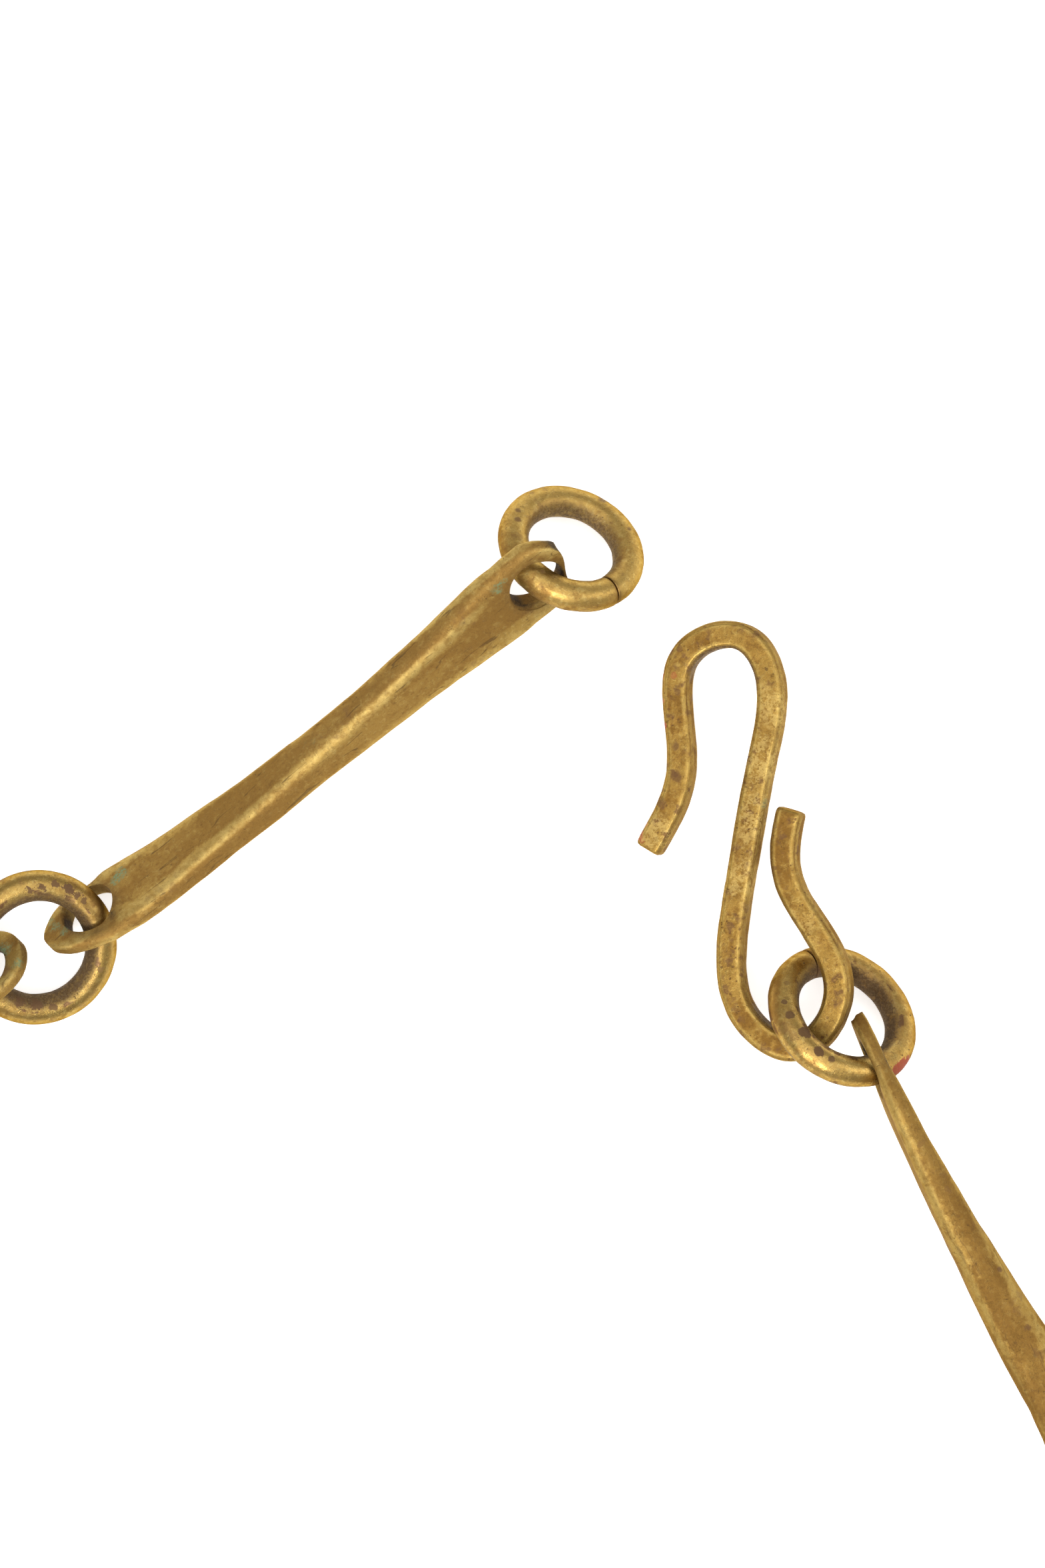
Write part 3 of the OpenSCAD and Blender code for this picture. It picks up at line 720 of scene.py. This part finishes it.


# ---------------------------------------------------------------- pieces
# stains and paint traces of single pieces, in each piece's own mm; the bright marks on ring_01 and link_01 are painted
# highlights (glints)
MARKS = {
    "ring_00": [("dark", (7.1, -0.1, 1.6), 0.45, 0.8), ("dark", (6.6, 1.2, 1.7), 0.45, 0.8), ("dark", (-0.7, -7.2, 1.6), 0.7, 0.7), ("dark", (1.5, 6.5, 1.7), 0.4, 0.7), ("dark", (-4.8, -4.9, 1.7), 0.4, 0.6)],
    "ring_01": [("chip", (3.8, 6.1, 1.7), 0.45, 0.9), ("chip", (4.8, 5.4, 1.7), 0.5, 0.9), ("chip", (6.2, 4.7, 1.5), 0.45, 0.9), ("chip", (6.9, 3.3, 1.6), 0.65, 0.95), ("chip", (7.2, 2.0, 1.6), 0.5, 0.9), ("chip", (7.2, 1.1, 1.6), 0.4, 0.8),
                ("chip", (-4.1, -4.5, 1.4), 0.75, 0.9), ("chip", (-3.0, -5.8, 1.6), 0.55, 0.8), ("chip", (-5.4, -2.9, 1.5), 0.6, 0.8), ("chip", (3.7, -6.1, 1.7), 0.4, 0.6), ("bright_wear_and_highlight", (-2.2, -8.1, 1.0), 1.0, 0.6)],
    "ring_11": [("spot", (6.3, 4.5, 1.6), 0.42, 0.9), ("spot", (5.1, 5.6, 1.6), 0.55, 0.9), ("spot", (2.7, 6.6, 1.7), 0.85, 0.95), ("spot", (0.3, 7.5, 1.6), 0.65, 0.95), ("spot", (-1.3, 7.4, 1.6), 0.5, 0.9), ("spot", (7.2, 2.0, 1.6), 0.4, 0.6),
                ("rust", (-8.4, 1.5, 0.6), 1.25, 0.95), ("rust", (-7.9, 2.8, 0.8), 0.8, 0.9), ("rust", (-8.4, 0.5, 0.6), 0.8, 0.8)],
    "s_hook": [("rust", (-6.6, -4.7, 0.7), 0.55, 0.8), ("rust", (-5.4, -4.6, 1.4), 0.45, 0.45), ("rust", (-6.5, -7.4, 0.8), 0.50, 0.6), ("rust", (-6.2, -10.0, 0.8), 0.55, 0.85), ("rust", (-8.7, -21.0, 0.7), 0.6, 0.9),
               ("rust", (-9.1, -22.3, 0.9), 0.65, 0.9), ("green", (4.9, -18.6, 0.8), 0.8, 0.5), ("dark", (-5.1, -12.3, 1.4), 0.6, 0.7), ("dark", (-5.1, -15.7, 1.4), 0.8, 0.7),
               ("pale", (5.6, -8.0, 1.4), 3.4, 0.45), ("pale", (4.6, -14.0, 1.4), 3.6, 0.55), ("pale", (3.5, -20.5, 1.4), 3.6, 0.55), ("pale", (2.4, -27.0, 1.4), 3.4, 0.50), ("pale", (-7.6, -21.8, 1.4), 2.6, 0.50), ("pale", (8.6, -32.5, 1.4), 2.8, 0.35)],
    "link_01": [("green", (3.9, 0.9, 3.1), 0.9, 0.8), ("green", (3.0, 0.9, 3.4), 0.6, 0.7), ("green", (56.4, -1.5, -0.3), 1.1, 0.95), ("green", (57.4, -0.9, -0.2), 1.0, 0.9), ("green", (65.7, -0.5, 0.2), 0.9, 0.9), ("green", (65.9, -1.6, -0.2), 0.8, 0.8), ("green", (64.8, 0.8, 0.5), 0.8, 0.8), ("green", (30.5, 1.0, 2.4), 1.4, 0.35),
                ("bright_wear_and_highlight", (61.2, 4.0, -0.3), 0.8, 0.8), ("bright_wear_and_highlight", (59.2, 4.3, -0.3), 0.9, 0.8), ("bright_wear_and_highlight", (56.6, 4.4, -0.3), 0.8, 0.7)],
    "link_02": [("green", (-3.7, 0.5, -0.2), 1.2, 0.8), ("green", (-3.8, 0.8, -3.1), 0.9, 0.8), ("dark", (-1.9, 0.9, -2.6), 1.0, 0.7)],
    "link_11": [("dark", (42.2, 2.5, 0.0), 0.45, 0.8), ("dark", (35.7, 2.5, 1.5), 0.40, 0.8), ("dark", (28.7, 2.3, 1.4), 0.6, 0.8), ("green", (52.0, 2.0, -1.0), 0.9, 0.5)],
}
# where each butt joint lies, seen from above
seams = [-49, 216, 300, 40, 205, 150, 265, 95, 330, 180, 60, 123]
for i in range(12):
    node = f"ring_{i:02d}"
    o = ring_piece(i, seams[i], seed=i * 0.37)
    o.data.materials.append(brass(f"brass_ring_{i:02d}", seed=1.0 + i, dull=0.34 if i == 0 else 0.40, mottle=0.8, spots=0.35, rough=0.43 if i == 0 else 0.34, pits=1.0, collar=0.25 if i == 0 else 0.85, soot_and_shade=0.35 if i == 0 else 0.65, shade={0: 1.0, 1: 0.86, 11: 1.06}.get(i, 0.90), marks=MARKS.get(node, ())))
    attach(o, node)
    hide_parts(node)
for i in range(1, 12):
    node = f"link_{i:02d}"
    o = link_piece(i, seed=i * 0.61)
    o.data.materials.append(brass(f"brass_link_{i:02d}", seed=20.0 + i, dull=0.60, mottle=0.6, spots=0.25, rough=0.56, along=0.4, pits=0.6, flat=0.9, lap=0.6 if i == 1 else 0.4, metal=0.85, skin=1.7, soot_and_shade=0.85, shade={1: 0.90, 11: 0.74}.get(i, 0.84), tint=(0.99, 0.95, 0.86) if i == 11 else (1, 1, 1), marks=MARKS.get(node, ())))
    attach(o, node)
    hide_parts(node)
o = hook_piece(seed=2.0)
o.data.materials.append(brass("brass_hook", seed=41.0, dull=0.46, mottle=1.0, spots=1.5, rough=0.47, pits=0.7, flat=0.12, skin=1.3, shade=0.75, tint=(1.01, 0.94, 0.79), marks=MARKS["s_hook"]))
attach(o, "s_hook")
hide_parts("s_hook")

# ---------------------------------------------------------------- floor, light, camera
bm = bmesh.new()
bmesh.ops.create_grid(bm, x_segments=24, y_segments=24, size=1.6)
floor = to_object(bm, "floor")
floor.location = (CAD_LO.x / 2 + CAD_HI.x / 2, CAD_LO.y / 2 + CAD_HI.y / 2, CAD_LO.z - 0.00005)
g = Graph("pale_floor")
d = g.new("ShaderNodeBsdfDiffuse")
d.inputs["Color"].default_value = (0.82, 0.82, 0.82, 1)
em = g.new("ShaderNodeEmission")
em.inputs["Color"].default_value = (1, 1, 1, 1)
em.inputs["Strength"].default_value = 0.62
add = g.new("ShaderNodeAddShader")
g.nt.links.new(d.outputs[0], add.inputs[0])
g.nt.links.new(em.outputs[0], add.inputs[1])
out = g.new("ShaderNodeOutputMaterial")
g.nt.links.new(add.outputs[0], out.inputs["Surface"])
floor.data.materials.append(g.mat)

world = bpy.data.worlds.new("studio")
bpy.context.scene.world = world
world.use_nodes = True
bg = world.node_tree.nodes["Background"]
bg.inputs[0].default_value = (1.0, 0.985, 0.965, 1)
bg.inputs[1].default_value = 0.52

aim = Vector((0.03142, 0.14331, 0.0))


def area(name, at, size, power, colour=(1, 1, 1), target=aim):
    l = bpy.data.lights.new(name, "AREA")
    l.shape = "RECTANGLE"
    l.size, l.size_y = size
    l.energy = power
    l.color = colour
    ob = bpy.data.objects.new(name, l)
    bpy.context.scene.collection.objects.link(ob)
    ob.location = at
    ob.rotation_mode = "QUATERNION"
    ob.rotation_quaternion = (Vector(at) - target).to_track_quat("Z", "Y")
    return ob


area("overhead", aim + Vector((0.0, 0.10, 1.50)), (1.8, 1.8), 13.5, (1, 0.99, 0.975))
area("key", aim + Vector((-0.30, -0.72, 1.10)), (0.42, 0.34), 11, (1, 0.985, 0.96))
area("side", aim + Vector((0.95, 0.1, 0.60)), (0.5, 0.5), 2.5, (1, 0.98, 0.95))

cam = bpy.data.cameras.new("camera")
cam.sensor_fit = "AUTO"
cam.sensor_width = 36
cam.lens = 36 * 0.700 / 0.17334
cam.clip_start, cam.clip_end = 0.01, 20
camera = bpy.data.objects.new("camera", cam)
bpy.context.scene.collection.objects.link(camera)
camera.location = (0.03142, 0.14331, 0.700)
camera.rotation_euler = (0, 0, 0)
bpy.context.scene.camera = camera

scene = bpy.context.scene
scene.view_settings.view_transform = "Standard"
scene.view_settings.look = "None"
scene.view_settings.exposure = 0.0
scene.view_settings.gamma = 1.0
scene.cycles.use_denoising = True
scene.cycles.max_bounces = 8

bpy.context.view_layer.update()
